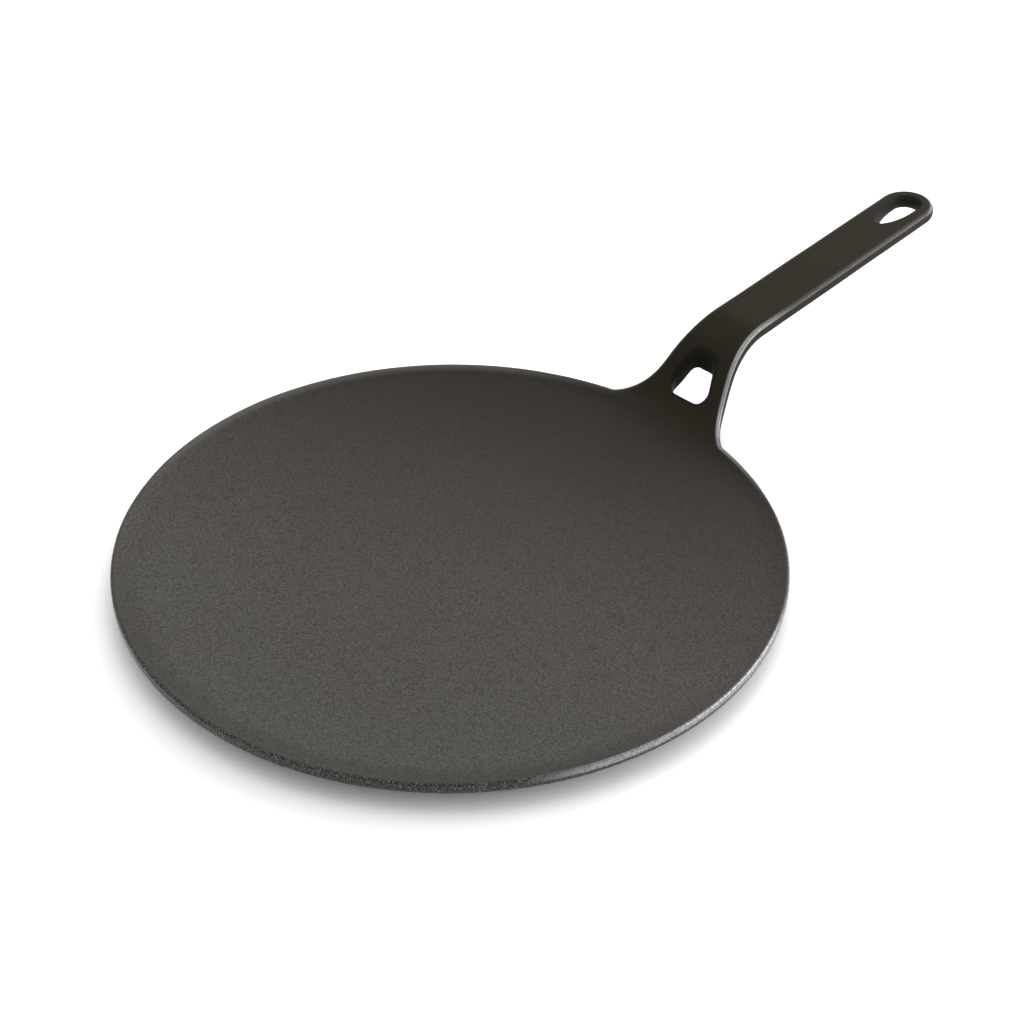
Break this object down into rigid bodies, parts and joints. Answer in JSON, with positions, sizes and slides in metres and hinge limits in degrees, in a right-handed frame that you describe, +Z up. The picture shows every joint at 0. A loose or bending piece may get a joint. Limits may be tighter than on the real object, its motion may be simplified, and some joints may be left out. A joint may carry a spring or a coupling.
{
  "type": "roti tawa",
  "caption": "Round, shallow dished cast-iron griddle plate with a low lip and a flat handle that climbs from the rim through a windowed neck to a hanging eye.",
  "frame": {"origin": "centre of the plate's flat underside, on the surface it stands on", "axes": "+Z up out of the cooking floor, +X from the plate's centre along the handle"},
  "size_m": [0.4309, 0.26, 0.0541],
  "materials": {
    "seasoned_iron": "seasoned dark brown-black, satin, fine sandy grain on the plate and smoother on the handle"
  },
  "bodies": {
    "root": {"griddle_plate": "seasoned_iron", "handle": "seasoned_iron"}
  },
  "joints": []
}
